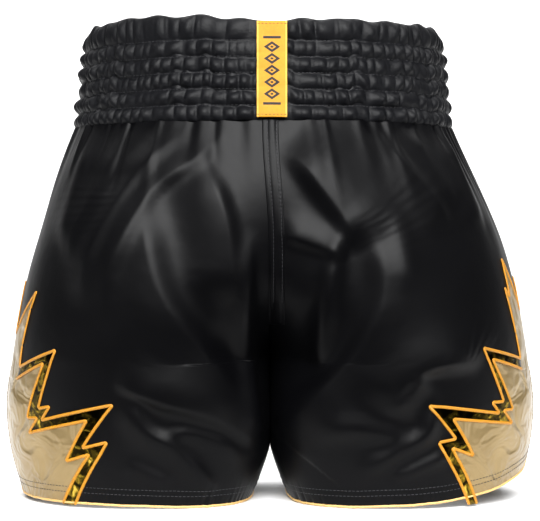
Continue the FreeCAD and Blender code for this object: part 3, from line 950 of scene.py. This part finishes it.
def label_surface(x, height):
    """The label's face: the band's oval moved out, taking a quarter of the puffs' relief."""
    x, height = np.broadcast_arrays(np.asarray(x, float), np.asarray(height, float))
    share = height / BAND_HEIGHT
    half_width, half_depth = [low + (high - low) * share
                              for low, high in zip(BAND_LOW, BAND_HIGH)]
    flat = -half_depth * np.sqrt(1 - ((x - lean(TOP)) / half_width) ** 2)
    ripple = 0.5 * np.abs(np.sin(math.pi * share * ROWS_OF_ELASTIC)) + 0.35 * np.sin(
        x * 0.21 + height * 0.16)
    return np.stack([x, flat - LABEL_LIFT - ripple, TOP + height], -1)


def label_paint(start, shader):
    """Yellow satin with pale selvedges and the dark lozenge figure, laid out in its own mm."""
    uv, sideways, upwards = own_uv(start)
    across = (sideways * 1000.0 - LABEL_MIDDLE).size()
    up = upwards * 1000.0
    cell = start.maths("FRACT", (up - 17.0) / 9.6)
    lozenge = (cell - 0.5).size() * 2.0 + across / 7.0
    ring = lozenge.step(0.44, 0.50) * (1 - lozenge.step(0.92, 0.98))
    heart = 1 - lozenge.step(0.20, 0.26)
    zone = up.step(16.8, 17.2) * (1 - up.step(64.8, 65.2))
    bars = (1 - ((up - 14.0).size()).step(0.9, 1.2)) + (1 - ((up - 68.0).size()).step(0.9, 1.2))
    figure = (ring + heart) * zone + bars * (1 - across.step(7.0, 7.4))
    selvedge = across.step(10.7, 11.3)
    grain = start.node("ShaderNodeTexNoise", ("Vector", uv), ("Scale", 420.0), ("Detail", 2.0))
    yellow = grain.mixed((0.50, 0.215, 0.008, 1.0), (0.64, 0.29, 0.014, 1.0))
    ground = start.node("ShaderNodeMix", ("Factor", selvedge), (6, yellow),
                        (7, (0.80, 0.44, 0.07, 1.0)), out=2, data_type="RGBA")
    colour = start.node("ShaderNodeMix", ("Factor", figure), (6, ground),
                        (7, (0.014, 0.012, 0.012, 1.0)), out=2, data_type="RGBA")
    link(colour, shader, "Base Color")
    link(grain * 0.15 + 0.36, shader, "Roughness")
    woven = start.node("ShaderNodeBump", ("Strength", 0.3), ("Distance", 0.00015),
                       ("Height", satin_weave(sideways, upwards, 0.3) + figure * 2.0))
    link(woven, shader, "Normal")


x, height = np.meshgrid(
    np.linspace(LABEL_MIDDLE - LABEL_HALF_WIDTH, LABEL_MIDDLE + LABEL_HALF_WIDTH, 34),
    np.linspace(LABEL_LOW, LABEL_HIGH, 100), indexing="ij")
label = solid_sheet("waistband_label_cloth", label_surface(x, height).reshape(-1, 3),
                    grid_faces(*x.shape), np.stack([x, height], -1).reshape(-1, 2) * 0.001,
                    finish("label_damask", (0.6, 0.27, 0.012), 0.42, label_paint,
                           Specular_IOR_Level=0.25), 0.7)
fitted(label, "waistband_label")
edge = LABEL_HALF_WIDTH - 1.5
label_rows = [stitches(label_surface, [(LABEL_MIDDLE - edge, level),
                                       (LABEL_MIDDLE + edge, level)], 0.0, 1.9, 1.0, 0.22)
              for level in (LABEL_LOW + 2.2, LABEL_HIGH - 2.2)]
label_thread = mesh_piece("label_stitches", *joined(label_rows), dark_thread)
fitted(label_thread, "label_stitching")

# ------------------------------------------------------------------ seat and front seams
# A felled seam down the centre, back and front: the folded allowance stands slightly proud
# and two rows of topstitching run along it. Tapes cover the seams inside.

SEAM_HALF_WIDTH = 6.6
SEAM_LOW = 150.0
SEAM_MIDDLE = 5.4       # the allowances are folded to one side of the centre plane
STITCH_MIDDLE = 6.6
STITCH_OFFSET = 3.5


def centre_surface(x, z, facing, lift=0.0):
    """The cloth's face by distance from the centre plane instead of by turn."""
    x, z = np.broadcast_arrays(np.asarray(x, float), np.asarray(z, float))
    centre, half_width, _ = oval(z)
    turn = facing * np.arccos(np.clip((np.abs(x) - centre) / half_width, -1, 1))
    return np.where((x < 0)[..., None], cloth(LEFT, turn, z, lift), cloth(RIGHT, turn, z, lift))


for facing_name, facing, seam_name in (("back", 1.0, "seat"), ("front", -1.0, "front")):
    offset, z = np.meshgrid(np.linspace(-SEAM_HALF_WIDTH, SEAM_HALF_WIDTH, 27),
                            np.linspace(SEAM_LOW, TOP + 2.0, 130), indexing="ij")
    x = offset + facing * SEAM_MIDDLE
    from_stitch = np.abs(np.abs(x - facing * STITCH_MIDDLE) - STITCH_OFFSET)
    height = 0.15 + 0.65 * np.sqrt(np.clip(1 - (offset / SEAM_HALF_WIDTH) ** 4, 0, 1))
    height = height - 0.35 * np.exp(-(from_stitch / 1.3) ** 2) * (1 + 0.6 * np.sin(z * 1.9))
    points = centre_surface(x, z, facing, height).reshape(-1, 3)
    faces = grid_faces(*x.shape)
    if facing < 0:
        faces = faces[:, ::-1]
    uv = np.stack([x, z], -1).reshape(-1, 2) * 0.001
    fell = solid_sheet(f"{seam_name}_seam_fell", points, faces, uv, black_satin, 0.9)
    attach(fell, "root")

    tape_x, tape_z = np.meshgrid(np.linspace(-6, 6, 9), np.linspace(SEAM_LOW, TOP, 60),
                                 indexing="ij")
    points = centre_surface(tape_x, tape_z, facing, -1.6).reshape(-1, 3)
    tape = solid_sheet(f"{seam_name}_seam_tape_cloth", points, grid_faces(*tape_x.shape),
                       np.stack([tape_x, tape_z], -1).reshape(-1, 2) * 0.001, black_satin, 0.5)
    fitted(tape, f"{seam_name}_seam_tape")

    rows = []
    for row in (-1.0, 1.0):
        levels = np.linspace(TOP - 1.0, SEAM_LOW + 20, 24)
        route = np.stack([0 * levels + row * STITCH_OFFSET + facing * STITCH_MIDDLE, levels], -1)
        rows.append(stitches(
            lambda u, v, facing=facing: centre_surface(u, v, facing, 0.45), route, 0.0,
            2.3, 0.8, 0.22, 0.1))
    thread = mesh_piece(f"{seam_name}_seam_stitches", *joined(rows), dark_thread)
    fitted(thread, f"{seam_name}_seam_stitching")

# ------------------------------------------------------------------ hems, vents and inner tapes
# A thin pale gold binding is folded over each hem. Two rows of topstitching run above it, and
# up a facing strip on each edge of the vent. Tapes lie over the side and inside-leg seams.


def binding_paint(start, shader):
    """Pale gold rib lines across the binding, one each 1.1 mm, with painted shade darkening the
    grooves between them.
    """
    _, across, _ = own_uv(start)
    rib_and_shade = (across * (FULL_TURN / 1.1)).sine() * 0.5 + 0.5
    # Painted shade: the colour runs from dark gold in the grooves to pale gold on the crests.
    link(rib_and_shade.mixed((0.56, 0.33, 0.10, 1.0), (0.80, 0.53, 0.21, 1.0)), shader, "Base Color")
    raised = start.node("ShaderNodeBump", ("Strength", 0.4), ("Distance", 0.0002),
                        ("Height", rib_and_shade))
    link(raised, shader, "Normal")


binding_cloth = finish("binding_cloth", (0.72, 0.47, 0.17), 0.5, binding_paint)
HEM_ROWS = (9.0, 13.5)
VENT_TOP = 110.0
STRIP_WIDTH = 10.5
BINDING_HALF_WIDTH = 1.15
BINDING_HEIGHT = 1.5
TAPE_LIFT = -1.5        # inside the cloth
TAPE_THICKNESS = 0.5
for side_name, side in SIDES:
    bindings, hem_threads, vent_threads = [], [], []
    for facing_name, facing in FACINGS:
        quarter = f"{facing_name}_{side_name}"
        surface = leg_face(side, facing)
        gap = VENT_GAP / LEG_RADIUS
        turns = np.concatenate([np.linspace(gap, 0.19, 10), np.linspace(0.22, math.pi, 40)])
        route = along_surface(surface, np.stack([turns, hem_edge(side, turns) + 0.2], -1), 1.2,
                              side * LEG_MIDDLE)
        bindings.append(bead(*route, BINDING_HALF_WIDTH, BINDING_HEIGHT, -0.6, 1.0))
        for low in HEM_ROWS:
            start_turn = gap + (4.0 + (low - HEM_ROWS[0])) / LEG_RADIUS
            turns = np.linspace(start_turn, 3.1, 44)
            hem_threads.append(stitches(
                surface, np.stack([turns, hem_edge(side, turns) + low], -1), side * LEG_MIDDLE,
                2.4, 0.9, 0.26, 0.12))
        for offset in (1.8, 6.0):
            turn = (VENT_GAP + offset) / LEG_RADIUS
            low = hem_edge(side, np.array([turn]))[0] + 8.0
            vent_threads.append(stitches(surface, [(turn, low), (turn, VENT_TOP)],
                                         side * LEG_MIDDLE, 2.2, 0.9, 0.24, 0.75))
        strip_share = (gap / math.pi, (VENT_GAP + STRIP_WIDTH) / LEG_RADIUS / math.pi)
        strip = sheet_piece(f"vent_strip_{quarter}", side, facing, strip_share,
                            (2.0, VENT_TOP + 2.0), (10, 90), pale_satin, 0.55, 1.9)
        fitted(strip, f"vent_facing_{side_name}")

        for tape_name, shares, heights, length in (
                ("side_seam", (0.0, 0.042), (VENT_TOP + 4.0, TOP - 1.0), 0.20),
                ("inseam", (0.984, 1.0), (6.0, 92.0), 0.086)):
            tape = sheet_piece(f"{tape_name}_tape_{quarter}", side, facing, shares, heights,
                               (6, 60), black_satin, TAPE_LIFT, TAPE_THICKNESS)
            fitted(tape, f"{tape_name}_tape_{side_name}")
    for name, parts, material, slot_name, node in (
            ("hem_binding_tape", bindings, binding_cloth, "gold_binding", "hem_binding"),
            ("hem_stitches", hem_threads, dark_thread, "dark_thread", "hem_stitching"),
            ("vent_stitches", vent_threads, dark_thread, "dark_thread", "vent_facing")):
        piece = mesh_piece(f"{name}_{side_name}", *joined(parts), material)
        fitted(piece, f"{node}_{side_name}")
